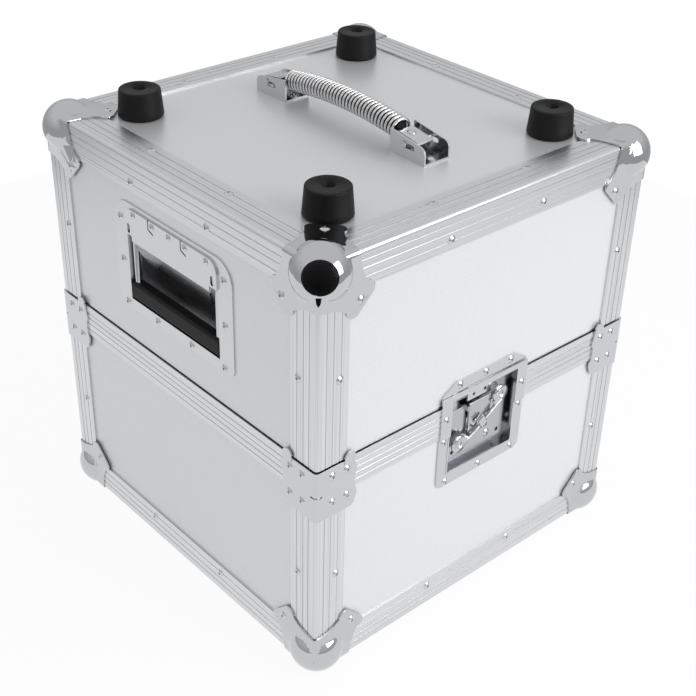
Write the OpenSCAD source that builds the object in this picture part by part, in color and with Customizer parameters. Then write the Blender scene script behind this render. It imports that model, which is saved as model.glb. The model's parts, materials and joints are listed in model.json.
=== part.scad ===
// Record carrying case: laminated plywood panels held in aluminium edge
// profiles, with pressed steel ball corners, a hinged lid, a recessed turn
// latch, a recessed flip handle on each side and a coil-sleeved strap handle
// on the lid. Millimetres, +Z up, front (latch side) towards -Y. The origin
// is on the floor, in the middle of the four bottom ball corners.

/* [Case] */
// Width over the edge profiles
case_w = 360; // [330:1:480]
// Depth over the edge profiles
case_d = 360; // [330:1:480]
// Height of the body, from the base profiles to the lid seam
body_h = 209; // [190:1:320]
// Height of the lid, from the seam to the top profiles
lid_h = 175; // [160:1:260]
// Open line between the body's rim and the lid
seam_gap = 1.2; // [0.8:0.1:2]
// Thickness of the laminated plywood
ply_t = 9; // [6:0.5:12]

/* [Edge profiles] */
// Leg of an edge profile
profile_leg = 30; // [26:1:34]
// Wall of an edge profile
profile_t = 1.6; // [1.2:0.1:2]
// Radius along the outer edge
arris_r = 3; // [1:0.5:4]
// Reach of the inner angle
inner_leg = 22; // [18:1:26]
// Wall of the inner angle
inner_t = 1.2; // [1:0.1:1.6]
// Width of the fine grooves
groove_w = 0.8; // [0.4:0.1:1.2]
// Depth of the fine grooves
groove_depth = 0.45; // [0.2:0.05:0.8]
// Height of the rim profile's outer leg on the body
rim_leg = 30; // [24:1:34]
// Thickness of the rim profiles over the panel edge
rim_cap_t = 1.4; // [1:0.1:2]
// Height of the tongue that locates the lid
tongue_h = 5; // [3:0.5:8]
// Clearance between the tongue and the lid
tongue_gap = 0.5; // [0.4:0.1:1]

/* [Ball corners] */
// Radius of the ball
ball_r = 23; // [20:0.5:25]
// Distance of the ball's centre from each face of its plates
ball_inset = 15.9; // [15:0.1:17]
// Sheet thickness of the corners and seam brackets
cap_t = 1.4; // [1:0.1:2]
// Flat worn under each bottom ball
ball_flat = 0.5; // [0.3:0.1:1]
// Reach of a plate along the edge of the case
cap_reach = 38.4; // [36:0.2:42]
// Place of a plate's rivet from both edges of the plates
cap_rivet = 39.9; // [38:0.1:42]

/* [Seam brackets] */
// Length of a wing from the edge of the case
bracket_w = 40; // [36:1:44]
// Height of a wing below the seam
bracket_h = 47; // [40:1:50]
// Rise of the lid locating ear above the seam
ear_rise = 6; // [4:0.5:8]
// Width of the lid locating ear
ear_w = 11; // [8:1:14]
// Clearance between an ear and the lid
ear_gap = 0.5; // [0.4:0.1:1]

/* [Rivets] */
// Diameter of a rivet head
rivet_head_d = 7.6; // [6:0.1:9]
// Height of a rivet head
rivet_head_h = 1.7; // [1:0.1:2.5]
// Diameter of a rivet shank
rivet_d = 4; // [3:0.1:5]
// Diameter of the open mandrel hole
mandrel_d = 2.2; // [1.5:0.1:2.6]
// Radial clearance of a shank in its hole
rivet_gap = 0.08; // [0.05:0.01:0.2]
// Distance of the profile rivets from the edge of the case
rivet_edge = 21.5; // [19:0.1:24]
// Distance of the profile rivets from the middle of a side
rivet_along = 51; // [30:1:80]
// Height of the upright rivets above the base
upright_rivet_low = 98; // [70:1:120]
// Height of the upright rivets above the seam
upright_rivet_high = 74.5; // [60:0.5:80]

/* [Turn latch] */
// Width of the latch dish's flange at its sides
latch_flange = 12; // [10:0.5:15]
// Width of the latch dish's flange below its recess
latch_foot_flange = 12; // [10:0.5:15]
// Lap of the dish over the lid
latch_lap = 8; // [6:0.5:10]
// Height of the strike strip above the lap
strike_h = 11.5; // [10:0.5:14]
// Width of the recess
recess_w = 77; // [74:1:80]
// Distance of the recess's lower edge below the seam
recess_drop = 71; // [70:1:76]
// Depth of the recess from the profile face
recess_depth = 14; // [13.8:0.1:16]
// Sheet thickness of the dishes
dish_t = 1.2; // [1:0.1:1.5]
// Distance of the wing's axis below the seam
latch_axis_drop = 34; // [33:0.5:36]
// Slope of the closed wing
wing_angle = 34; // [20:1:40]
// Distance of a lobe's centre from the side of the recess
lobe_side_gap = 10.5; // [10:0.5:12]
// Radius of a lobe
lobe_r = 8; // [7:0.5:8]
// Travel of the hook over half a turn of the wing
hook_travel = 8; // [6:0.5:9]

/* [Hinges] */
// Distance of a hinge from the middle of the back
hinge_place = 98; // [85:1:110]
// Width of a hinge leaf
leaf_w = 70; // [60:1:76]
// Height of a hinge leaf
leaf_h = 28; // [26:1:29]
// Sheet thickness of a leaf
leaf_t = 2; // [1.5:0.1:2.2]
// Outer radius of the knuckles
knuckle_r = 3.8; // [3.4:0.1:3.9]
// Distance of the hinge axis from the profile face
hinge_out = 4.6; // [4.4:0.1:4.7]
// Radius of the hinge pin
hinge_pin_r = 2; // [1.5:0.1:2.2]
// Gap between knuckles
knuckle_gap = 0.4; // [0.3:0.05:0.8]

/* [Flip handles] */
// Width of the dish's flange at the ends of the recess
flip_flange = 18.5; // [16:0.5:22]
// Width of the dish's flange above and below the recess
flip_rim = 10.5; // [8:0.5:13]
// Height of the dish's middle above the seam
flip_mid = 82.5; // [78:0.5:86]
// Length of the recess
flip_recess_l = 124; // [118:1:126]
// Height of the recess
flip_recess_h = 80; // [76:1:84]
// Depth of the recess behind its flange
flip_depth = 24; // [22:0.5:26]
// Distance of the bail's pivot below the recess's upper edge
bail_drop = 21; // [20:0.5:23]
// Radius of the bail's rod
bail_rod_r = 3.2; // [2.6:0.1:3.4]
// Height of the grip
grip_h = 16; // [13:1:18]
// Depth of the grip
grip_t = 11; // [9:0.2:11.4]
// Running clearance of a round pin in its bore
pin_gap = 0.05; // [0.02:0.01:0.1]

/* [Top handle] */
// Distance of a bracket's middle from the coil's end
top_bracket_run = 17; // [15:0.5:20]
// Length of a bracket
top_bracket_l = 40; // [36:1:44]
// Width of a bracket
top_bracket_w = 28; // [26:1:30]
// Height of a bracket's walls at their inner ends
top_bracket_h = 20; // [18:0.5:22]
// Height of a bracket's walls at their outer ends
top_bracket_low = 15; // [14.5:0.5:17]
// Sheet thickness of a bracket
top_bracket_t = 1.5; // [1.2:0.1:2]
// Radius of the coil sleeve
coil_r = 9.7; // [8:0.1:11]
// Half the length of the coil sleeve
coil_half = 69.5; // [60:0.5:74]
// Height of the grip's axis above the lid at its middle
arch_top = 20.8; // [20:0.2:30]
// Height of the grip's axis above the lid at the coil's ends
arch_end = 15.3; // [14.5:0.1:17]
// Diameter of the coil's wire
wire_d = 2.6; // [1.8:0.1:2.8]
// Turns of the coil
coil_turns = 35; // [24:1:38]
// Travel of the handle's pins in their slots, each way
slot_travel = 5; // [2:0.5:5]

/* [Feet] */
// Distance of a foot's centre from the edges of the case
foot_inset = 58.5; // [56:0.5:66]
// Height of a foot
foot_h = 24; // [18:1:28]
// Largest radius of a foot
foot_r = 19.6; // [16:0.1:21]
// Radius of a foot at its free end
foot_tip_r = 17.8; // [14:0.1:19]

/* [Hidden] */
$fn = 64;

// Levels and half sizes of the case
half_w = case_w / 2;
half_d = case_d / 2;
base_z = ball_r - ball_inset + cap_t - ball_flat;
seam_z = base_z + body_h;
top_z = seam_z + lid_h;

// Depths below a face of the profiles
ply_in = profile_t + ply_t;
edge_in = ply_in + inner_t;
groove_places = [8.8, 15.3, 22.7];
tip_cut = 12;
slack = 1;

// Colours
alu = [0.83, 0.83, 0.84];
laminate = [0.78, 0.78, 0.79];
zinc = [0.88, 0.88, 0.9];
rubber = [0.06, 0.06, 0.06];

// ---- Places on the case ----

// Puts children on a face: +X runs along it, +Y up it and +Z out of it
module on_face(side) {
  if (side == "front") translate([0, -half_d, 0]) rotate([90, 0, 0]) children();
  if (side == "back") translate([0, half_d, 0]) rotate([90, 0, 180]) children();
  if (side == "left") translate([-half_w, 0, 0]) rotate([90, 0, -90]) children();
  if (side == "right") translate([half_w, 0, 0]) rotate([90, 0, 90]) children();
  if (side == "top") translate([0, 0, top_z]) children();
  if (side == "base") translate([0, 0, base_z]) rotate([180, 0, 0]) children();
}

function half_along(side) = side == "front" || side == "back" ? half_w : half_d;

// Repeats children, made for the front left corner, at all four corners
module each_corner() {
  for (sx = [0, 1], sy = [0, 1])
    mirror([sx, 0, 0]) mirror([0, sy, 0]) translate([-half_w, -half_d, 0]) children();
}

// A block given by its ranges along X, Y and Z
module block(x, y, z) {
  translate([x[0], y[0], z[0]]) cube([x[1] - x[0], y[1] - y[0], z[1] - z[0]]);
}

// ---- Rivets ----

// Places [along, up] of the profile rivets on a wall of the body
function body_wall_spots(side) = [
  for (s = [-1, 1]) [s * rivet_along, base_z + rivet_edge],
  for (s = [-1, 1]) [s * (half_along(side) - rivet_edge), base_z + upright_rivet_low]
];
function lid_wall_spots(side) = [
  for (s = [-1, 1]) [s * rivet_along, top_z - rivet_edge],
  for (s = [-1, 1]) [s * (half_along(side) - rivet_edge), seam_z + upright_rivet_high]
];
// Places on the top or base
flat_spots = [
  for (s = [-1, 1], t = [-1, 1]) [s * rivet_along, t * (half_d - rivet_edge)],
  for (s = [-1, 1], t = [-1, 1]) [s * (half_w - rivet_edge), t * rivet_along]
];
// Rivets through the ball corners' plates
cap_place = cap_rivet - cap_t;
function cap_wall_spots(side, level) = [
  for (s = [-1, 1]) [s * (half_along(side) - cap_place), level]
];
cap_flat_spots = [
  for (s = [-1, 1], t = [-1, 1]) [s * (half_w - cap_place), t * (half_d - cap_place)]
];
// Rivets of the seam brackets
bracket_rivet_in = 15;
bracket_rivet_out = bracket_w - 10.5;
bracket_rivet_top = 9;
bracket_rivet_low = bracket_h - 13;
function bracket_spots(side) = [
  for (s = [-1, 1], a = [bracket_rivet_in, bracket_rivet_out], d = [bracket_rivet_top, bracket_rivet_low])
    [s * (half_along(side) - a), seam_z - d]
];

walls = ["front", "back", "left", "right"];

// A blind rivet on Z = 0 with its shank going down
module rivet(grip) {
  dome_r = (pow(rivet_head_d / 2, 2) + pow(rivet_head_h, 2)) / (2 * rivet_head_h);
  difference() {
    union() {
      intersection() {
        translate([0, 0, rivet_head_h - dome_r]) sphere(r = dome_r);
        cylinder(d = rivet_head_d, h = rivet_head_h);
      }
      translate([0, 0, -grip]) cylinder(d = rivet_d, h = grip + rivet_head_h / 3);
    }
    translate([0, 0, -rivet_head_h]) cylinder(d = mandrel_d, h = 3 * rivet_head_h);
  }
}

// Rivets at a face's spots, their heads `out` above it
module rivets_on(side, spots, out, grip) {
  on_face(side) for (p = spots) translate([p[0], p[1], out]) rivet(grip);
}

// The holes for them, cut right through the wall
module holes_on(side, spots) {
  on_face(side) for (p = spots)
    translate([p[0], p[1], -edge_in - slack]) cylinder(r = rivet_d / 2 + rivet_gap, h = edge_in + 12);
}

// ---- Edge profiles ----

// Outer angle of a profile, its outer corner at the origin
module outer_angle() {
  difference() {
    union() {
      translate([arris_r, 0]) square([profile_leg - arris_r, profile_leg]);
      translate([0, arris_r]) square([profile_leg, profile_leg - arris_r]);
      translate([arris_r, arris_r]) circle(r = arris_r);
    }
    translate([profile_t, profile_t]) square(profile_leg);
    for (g = groove_places) {
      translate([g - groove_w / 2, -slack]) square([groove_w, slack + groove_depth]);
      translate([-slack, g - groove_w / 2]) square([slack + groove_depth, groove_w]);
    }
  }
}

// Inner angle and the square tube that joins it to the outer one
module inner_angle() {
  difference() {
    translate([profile_t, profile_t]) square(inner_leg - profile_t);
    translate([edge_in, edge_in]) square(inner_leg);
    translate([profile_t, profile_t]) square(ply_t);
    translate([edge_in, 0]) square([inner_leg, ply_in]);
    translate([0, edge_in]) square([ply_in, inner_leg]);
  }
}

// Cuts the tip off a profile inside a ball corner
module tip_cutter() {
  rotate([0, acos(1 / sqrt(3)), 45]) cylinder(r = 3 * tip_cut, h = 2 * tip_cut / sqrt(3), center = true);
}

// One mitred side of a frame, along X, its edge on Y = 0 and Z = 0
module frame_side(len) {
  intersection() {
    rotate([90, 0, 90]) linear_extrude(len, center = true) {
      outer_angle();
      inner_angle();
    }
    linear_extrude(profile_leg)
      polygon([[-len / 2, 0], [len / 2, 0], [len / 2 - profile_leg, profile_leg],
        [profile_leg - len / 2, profile_leg]]);
  }
}

// The two sides of a frame along X, or along Y, with its outer face on Z = 0
module frame_pair(along) {
  len = along == "x" ? case_w : case_d;
  out = along == "x" ? half_d : half_w;
  difference() {
    for (i = [0, 1])
      rotate([0, 0, 180 * i + (along == "x" ? 0 : 90)]) translate([0, -out, 0]) frame_side(len);
    each_corner() tip_cutter();
  }
}

// The four uprights: outer angle and inner angle between their own levels
module uprights(outer_z, inner_z) {
  each_corner() {
    translate([0, 0, outer_z[0]]) linear_extrude(outer_z[1] - outer_z[0]) outer_angle();
    translate([0, 0, inner_z[0]]) linear_extrude(inner_z[1] - inner_z[0]) inner_angle();
  }
}

module body_upright_profiles() color(alu) difference() {
  rim_z = seam_z - seam_gap / 2 - rim_cap_t;
  uprights([base_z + profile_leg, rim_z], [base_z + inner_leg, rim_z]);
  translate([0, 0, base_z]) each_corner() tip_cutter();
  for (side = walls) {
    holes_on(side, body_wall_spots(side));
    holes_on(side, bracket_spots(side));
  }
}

module lid_upright_profiles() color(alu) difference() {
  rim_z = seam_z + seam_gap / 2;
  uprights([rim_z, top_z - profile_leg], [rim_z + rim_cap_t, top_z - inner_leg]);
  translate([0, 0, top_z]) mirror([0, 0, 1]) each_corner() tip_cutter();
  for (side = walls) holes_on(side, lid_wall_spots(side));
}

module base_pair(along) color(alu) difference() {
  translate([0, 0, base_z]) frame_pair(along);
  for (side = walls) {
    holes_on(side, body_wall_spots(side));
    holes_on(side, cap_wall_spots(side, base_z + cap_place));
  }
  holes_on("base", flat_spots);
  holes_on("base", cap_flat_spots);
}

module body_base_cross_profiles() base_pair("x");
module body_base_side_profiles() base_pair("y");

module top_pair(along) color(alu) difference() {
  translate([0, 0, top_z]) mirror([0, 0, 1]) frame_pair(along);
  for (side = walls) {
    holes_on(side, lid_wall_spots(side));
    holes_on(side, cap_wall_spots(side, top_z - cap_place));
  }
  holes_on("top", flat_spots);
  holes_on("top", cap_flat_spots);
}

module lid_top_cross_profiles() top_pair("x");
module lid_top_side_profiles() top_pair("y");

// ---- Rim profiles ----

tongue_in = edge_in + tongue_gap;
tongue_t = 1.2;
rim_inner_h = 18;
rim_grooves = [7, 12.5, 18, 24];

// Keeps a side of a mitred ring of the given depth
module mitred(len, depth) {
  intersection() {
    children();
    translate([0, 0, -3 * rim_leg])
      linear_extrude(6 * rim_leg)
        polygon([[-len / 2, 0], [len / 2, 0], [len / 2 - depth, depth], [depth - len / 2, depth]]);
  }
}

// One side of the body's rim, along X, with the seam's middle on Z = 0
module body_rim_side(len) {
  top = -seam_gap / 2;
  leg_half = len / 2 - profile_leg;
  mitred(len, tongue_in + tongue_t) {
    union() {
      block([-len / 2, len / 2], [0, tongue_in + tongue_t], [top - rim_cap_t, top]);
      block([-len / 2, len / 2], [tongue_in, tongue_in + tongue_t], [top - rim_cap_t, top + tongue_h]);
      block([-len / 2 + inner_leg, len / 2 - inner_leg], [ply_in, edge_in], [top - rim_inner_h, top]);
      difference() {
        block([-leg_half, leg_half], [0, profile_t], [top - rim_leg, top]);
        for (g = rim_grooves)
          block([-leg_half - slack, leg_half + slack], [-slack, groove_depth],
            [top - g - groove_w / 2, top - g + groove_w / 2]);
      }
    }
  }
}

// One side of the lid's rim, along X, with the seam's middle on Z = 0
module lid_rim_side(len) {
  low = seam_gap / 2;
  mitred(len, edge_in) {
    union() {
      block([-len / 2 + profile_t, len / 2 - profile_t], [profile_t, edge_in], [low, low + rim_cap_t]);
      block([-len / 2 + inner_leg, len / 2 - inner_leg], [ply_in, edge_in], [low, low + rim_inner_h]);
    }
  }
}

module rim_ring(of_body) {
  translate([0, 0, seam_z])
    for (i = [0:3])
      rotate([0, 0, 90 * i]) translate([0, -(i % 2 == 0 ? half_d : half_w), 0]) {
        len = i % 2 == 0 ? case_w : case_d;
        if (of_body) body_rim_side(len);
        else lid_rim_side(len);
      }
}

// Rounds the rim's mitred corners like the edges of the case
module rim_corner_cutter() {
  translate([0, 0, seam_z - 2 * rim_cap_t]) each_corner() linear_extrude(2 * rim_cap_t) difference() {
    translate([-slack, -slack]) square(arris_r + slack);
    translate([arris_r, arris_r]) circle(r = arris_r);
  }
}

module body_rim_profiles() color(alu) difference() {
  rim_ring(true);
  rim_corner_cutter();
  latch_cut_out();
  for (side = walls) holes_on(side, bracket_spots(side));
  latch_rivet_holes();
  holes_on("back", hinge_spots(-1));
}

module lid_rim_profiles() color(alu) difference() {
  rim_ring(false);
  strike_cut_out();
  holes_on("back", hinge_spots(1));
}

// ---- Panels ----

// A wall panel between two levels
module wall_panel(side, z) {
  run = half_along(side) - edge_in;
  on_face(side) block([-run, run], z, [-ply_in, -profile_t]);
}

body_panel_z = [base_z + edge_in, seam_z - seam_gap / 2 - rim_cap_t];
lid_panel_z = [seam_z + seam_gap / 2 + rim_cap_t, top_z - edge_in];

module body_wall(side) color(laminate) difference() {
  wall_panel(side, body_panel_z);
  holes_on(side, body_wall_spots(side));
  holes_on(side, bracket_spots(side));
  holes_on(side, cap_wall_spots(side, base_z + cap_place));
  if (side == "front") {
    latch_cut_out();
    latch_rivet_holes();
  }
  if (side == "back") holes_on("back", hinge_spots(-1));
}

module lid_wall(side) color(laminate) difference() {
  wall_panel(side, lid_panel_z);
  holes_on(side, lid_wall_spots(side));
  holes_on(side, cap_wall_spots(side, top_z - cap_place));
  if (side == "front") {
    strike_cut_out();
    holes_on("front", strike_spots);
  }
  if (side == "back") holes_on("back", hinge_spots(1));
  if (side == "left" || side == "right") {
    on_face(side) flip_cut_out();
    holes_on(side, flip_spots);
  }
}

module body_front_panel() body_wall("front");
module body_back_panel() body_wall("back");
module body_left_panel() body_wall("left");
module body_right_panel() body_wall("right");
module lid_front_panel() lid_wall("front");
module lid_back_panel() lid_wall("back");
module lid_left_panel() lid_wall("left");
module lid_right_panel() lid_wall("right");

// A flat panel on the inner side of the given face
module flat_panel(side) {
  on_face(side)
    block([edge_in - half_w, half_w - edge_in], [edge_in - half_d, half_d - edge_in], [-ply_in, -profile_t]);
}

module body_base_panel() color(laminate) difference() {
  flat_panel("base");
  holes_on("base", flat_spots);
  holes_on("base", cap_flat_spots);
}

module lid_top_panel() color(laminate) difference() {
  flat_panel("top");
  holes_on("top", flat_spots);
  holes_on("top", cap_flat_spots);
  holes_on("top", top_bracket_spots);
  each_foot() translate([0, 0, -edge_in]) cylinder(r = foot_screw_r + rivet_gap, h = 2 * edge_in);
}

// ---- Ball corners ----

// Outline of one plate, from the corner of the case
lobe_c = [cap_rivet + 7, cap_rivet - 6.5];
cap_lobe_r = 6.4;
lobe_edge = cap_lobe_r / sqrt(2);
module plate_outline() {
  polygon([[0, 0], [cap_reach, 0], [cap_reach + 2, 13.4], [cap_reach + 4.7, 21.4],
    [lobe_c[0], lobe_c[1] - cap_lobe_r], [lobe_c[0] + lobe_edge, lobe_c[1] + lobe_edge],
    [lobe_c[1] + lobe_edge, lobe_c[0] + lobe_edge], [lobe_c[1] - cap_lobe_r, lobe_c[0]],
    [21.4, cap_reach + 4.7], [13.4, cap_reach + 2], [0, cap_reach]]);
  translate(lobe_c) circle(r = cap_lobe_r);
  translate([lobe_c[1], lobe_c[0]]) circle(r = cap_lobe_r);
}

// The solid corner that lies `deep` inside the cap's outer skin
module corner_form(deep) {
  reach = 60;
  round_r = arris_r + cap_t - deep;
  translate([ball_inset, ball_inset, ball_inset]) sphere(r = ball_r - deep);
  difference() {
    intersection() {
      corner_prism(deep, round_r, reach);
      rotate([90, 0, 90]) corner_prism(deep, round_r, reach);
      rotate([0, -90, -90]) corner_prism(deep, round_r, reach);
    }
    translate([deep, deep, deep]) tip_cutter();
  }
}

// A square prism along Z with its outer edge rounded
module corner_prism(deep, round_r, reach) {
  linear_extrude(2 * reach, center = true) {
    translate([deep + round_r, deep]) square([reach, reach + round_r]);
    translate([deep, deep + round_r]) square([reach + round_r, reach]);
    translate([deep + round_r, deep + round_r]) circle(r = round_r);
  }
}

// One plate's outline as a slab that also holds the ball in front of it
module plate_slab() {
  translate([0, 0, cap_t - 2 * ball_r]) linear_extrude(2 * ball_r) {
    plate_outline();
    translate([-ball_inset, -ball_inset]) square(2 * ball_inset);
  }
}

// One cap for the lower front left corner, its plates outside the profiles
module ball_corner() {
  translate([-cap_t, -cap_t, -cap_t]) difference() {
    intersection() {
      difference() {
        corner_form(0);
        corner_form(cap_t);
      }
      union() {
        plate_slab();
        rotate([90, 0, 90]) plate_slab();
        rotate([0, -90, -90]) plate_slab();
        translate([-ball_inset, -ball_inset, -ball_inset]) cube(ball_inset + tip_cut);
      }
    }
    for (turn = [[0, 0, 0], [90, 0, 90], [0, -90, -90]])
      rotate(turn) translate([cap_rivet, cap_rivet, -slack])
        cylinder(r = rivet_d / 2 + rivet_gap, h = cap_t + 2 * slack);
  }
}

module body_ball_corners() color(zinc) difference() {
  translate([0, 0, base_z]) each_corner() ball_corner();
  block([-case_w, case_w], [-case_d, case_d], [-2 * ball_flat, 0]);
}

module lid_ball_corners() color(zinc)
  translate([0, 0, top_z]) mirror([0, 0, 1]) each_corner() ball_corner();

// ---- Seam brackets ----

// Outline of a wing from the edge of the case, with its two shallow lobes;
// the seam is on Y = 0
bracket_corner_r = 5;
bracket_slit = 1.6;
ear_root = 4;
module wing_outline() {
  low = -bracket_h;
  high = -seam_gap / 2;
  waist = (low + high) / 2;
  lobe = (high - low) / 4;
  difference() {
    union() {
      translate([0, low]) square([bracket_w - 2 - bracket_corner_r, high - low]);
      translate([0, low + bracket_corner_r]) square([bracket_w - 2, high - low - 2 * bracket_corner_r]);
      for (y = [low + bracket_corner_r, high - bracket_corner_r])
        translate([bracket_w - 2 - bracket_corner_r, y]) circle(r = bracket_corner_r);
      for (y = [low + lobe, high - lobe]) translate([bracket_w - lobe + 1, y]) circle(r = lobe - 1);
    }
    translate([-slack, waist - bracket_slit / 2]) square([slack + 5, bracket_slit]);
  }
}

// One wing, flat on the front face of the front left corner
module bracket_wing(with_ear) {
  rotate([90, 0, 0]) {
    linear_extrude(cap_t) difference() {
      wing_outline();
      translate([-slack, -bracket_h - slack]) square([slack + arris_r, bracket_h + slack]);
    }
    if (with_ear) {
      translate([bracket_w - 2 - ear_w, 0, ear_gap]) linear_extrude(cap_t) {
        translate([0, -ear_root]) square([ear_w, ear_root + ear_rise - ear_w / 2]);
        translate([ear_w / 2, ear_rise - ear_w / 2]) circle(r = ear_w / 2);
      }
    }
  }
}

module seam_bracket(front_ear) {
  bracket_wing(front_ear);
  mirror([1, -1, 0]) bracket_wing(true);
  // the round bend that joins the wings
  bend_r = arris_r + cap_t;
  waist = (bracket_h + seam_gap / 2) / 2;
  difference() {
    translate([arris_r, arris_r, -bracket_h]) cylinder(r = bend_r, h = bracket_h - seam_gap / 2);
    translate([arris_r, arris_r, -bracket_h - slack]) cylinder(r = arris_r, h = bracket_h + 2 * slack);
    for (turned = [0, 1]) mirror([turned, -turned, 0]) translate([arris_r, -bend_r, -bracket_h - slack])
      cube([bend_r + slack + arris_r, 3 * bend_r, bracket_h + 2 * slack]);
    translate([-bend_r, -bend_r, -waist - bracket_slit / 2]) cube([2 * bend_r, 2 * bend_r, bracket_slit]);
  }
}

module seam_brackets() color(zinc) difference() {
  translate([0, 0, seam_z]) for (sx = [0, 1], sy = [0, 1])
    mirror([sx, 0, 0]) mirror([0, sy, 0]) translate([-half_w, -half_d, 0]) seam_bracket(sy == 0);
  for (side = walls) holes_on(side, bracket_spots(side));
}

// ---- Rivets of the case ----

module body_rivets() color(zinc) {
  for (side = walls) {
    rivets_on(side, body_wall_spots(side), 0, ply_in);
    rivets_on(side, cap_wall_spots(side, base_z + cap_place), cap_t, ply_in + cap_t);
    rivets_on(side, bracket_spots(side), cap_t, ply_in + cap_t);
  }
  rivets_on("base", flat_spots, 0, ply_in);
  rivets_on("base", cap_flat_spots, cap_t, ply_in + cap_t);
}

module lid_rivets() color(zinc) {
  for (side = walls) {
    rivets_on(side, lid_wall_spots(side), 0, ply_in);
    rivets_on(side, cap_wall_spots(side, top_z - cap_place), cap_t, ply_in + cap_t);
  }
  rivets_on("top", flat_spots, 0, ply_in);
  rivets_on("top", cap_flat_spots, cap_t, ply_in + cap_t);
}

// ---- Latch dish and strike ----

latch_x = 2;
latch_w = recess_w + 2 * latch_flange;
latch_drop = recess_drop + latch_foot_flange;
proud = dish_t - profile_t;
step_y = -seam_gap / 2 - rim_leg - 0.3;
recess_top = 3;
latch_gap = 0.3;

// Puts children on the front, +Y up from the seam and +Z out
module at_latch() translate([latch_x, 0, seam_z]) on_face("front") children();

module latch_cut_out() at_latch() {
  w = recess_w / 2 + dish_t + latch_gap;
  block([-w, w], [-recess_drop - dish_t - latch_gap, latch_lap + 1], [-edge_in - 5, 1]);
}

module strike_cut_out() at_latch() {
  w = recess_w / 2 + dish_t + latch_gap;
  block([-w, w], [-1, latch_lap + 2], [-edge_in - 5, 1]);
}

// Rivets [along, up from the seam, out]: on the rim leg, then on the panel
dish_high_spots = [for (s = [-1, 1]) [s * (latch_w / 2 - 5.5), -13.4]];
dish_low_spots = [
  for (s = [-1, 1]) [s * (latch_w / 2 - 5.5), step_y - 5.5],
  for (s = [-1, 0, 1]) [s * (latch_w / 2 - 10.5), 4 - latch_drop]
];
strike_flat_spots = [for (s = [-1, 0, 1]) [s * (latch_w / 2 - 20.5), latch_lap + 7]];
strike_spots = [for (p = strike_flat_spots) [p[0] + latch_x, seam_z + p[1]]];
plate_rivet = [14, -22];
plate_spots = [for (s = [-1, 1]) [s * plate_rivet[0], plate_rivet[1] - latch_axis_drop]];

module latch_rivet_holes() at_latch() for (p = concat(dish_high_spots, dish_low_spots))
  translate([p[0], p[1], -edge_in - slack]) cylinder(r = rivet_d / 2 + rivet_gap, h = edge_in + 12);

// A slab with its four corner radii given as [lower, upper]
module rounded_slab(w, y, z, r) {
  translate([0, 0, z[0]]) linear_extrude(z[1] - z[0]) rounded_plate(w, y, r);
}

module rounded_plate(w, y, r) {
  half = w / 2;
  translate([-half, y[0] + r[0]]) square([w, y[1] - y[0] - r[0] - r[1]]);
  translate([r[0] - half, y[0]]) square([w - 2 * r[0], r[0]]);
  translate([r[1] - half, y[1] - r[1]]) square([w - 2 * r[1], r[1]]);
  for (s = [-1, 1]) {
    translate([s * (half - r[0]), y[0] + r[0]]) circle(r = r[0]);
    translate([s * (half - r[1]), y[1] - r[1]]) circle(r = r[1]);
  }
}

module latch_dish() color(zinc) at_latch() difference() {
  w = recess_w / 2;
  union() {
    rounded_slab(latch_w, [-latch_drop, step_y], [-profile_t, proud], [7, 0.5]);
    block([-latch_w / 2, latch_w / 2], [step_y - dish_t, step_y], [-profile_t, dish_t]);
    block([-latch_w / 2, latch_w / 2], [step_y - dish_t, latch_lap], [0, dish_t]);
    block([-w - dish_t, w + dish_t], [-recess_drop - dish_t, step_y], [dish_t - recess_depth, 0]);
    block([-w - dish_t, w + dish_t], [step_y - dish_t, -seam_gap / 2], [dish_t - recess_depth, dish_t]);
  }
  block([-w, w], [-recess_drop, recess_top], [2 * dish_t - recess_depth, 3]);
  for (p = concat(dish_high_spots, dish_low_spots))
    translate([p[0], p[1], -5]) cylinder(r = rivet_d / 2 + rivet_gap, h = 10);
  for (p = plate_spots)
    translate([p[0], p[1], -recess_depth - 1]) cylinder(r = rivet_d / 2 + rivet_gap, h = 10);
}

module latch_dish_rivets() color(zinc) at_latch() {
  for (p = dish_high_spots) translate([p[0], p[1], dish_t]) rivet(ply_in + dish_t);
  for (p = dish_low_spots) translate([p[0], p[1], proud]) rivet(ply_in + proud);
  for (p = plate_spots) translate([p[0], p[1], plate_z[1]]) rivet(recess_depth + plate_z[1]);
}

keeper_half = 14;
keeper_drop = 11;
keeper_z = [-6.7, -5.5];

module latch_strike() color(zinc) at_latch() difference() {
  w = recess_w / 2 - dish_t;
  low = latch_lap + 0.5;
  high = latch_lap + strike_h + 0.5;
  union() {
    translate([0, 0, -profile_t]) linear_extrude(dish_t)
      polygon([[-latch_w / 2 + 1, low], [latch_w / 2 - 1, low], [latch_w / 2 - 1, low + 2],
        [latch_w / 2 - 17, high], [17 - latch_w / 2, high], [1 - latch_w / 2, low + 2]]);
    block([-w, w], [low, low + dish_t], [-recess_depth + dish_t, proud]);
    block([-w, w], [seam_gap / 2, low + dish_t], [dish_t - recess_depth, 2 * dish_t - recess_depth]);
    for (s = [-1, 1])
      block([s * w - (s > 0 ? dish_t : 0), s * w + (s > 0 ? 0 : dish_t)], [seam_gap / 2, low + dish_t],
        [dish_t - recess_depth, -profile_t]);
    block([-keeper_half, keeper_half], [-keeper_drop, low + dish_t], keeper_z);
  }
  for (p = strike_flat_spots)
    translate([p[0], p[1], -5]) cylinder(r = rivet_d / 2 + rivet_gap, h = 10);
  for (s = [-1, 1])
    translate([s * 6.6, -6.4, keeper_z[0] - 1]) cylinder(r = 1.6, h = 4);
}

module latch_strike_rivets() color(zinc) at_latch() {
  for (p = strike_flat_spots) translate([p[0], p[1], proud]) rivet(ply_in + proud);
}

// ---- Turn latch ----

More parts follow.
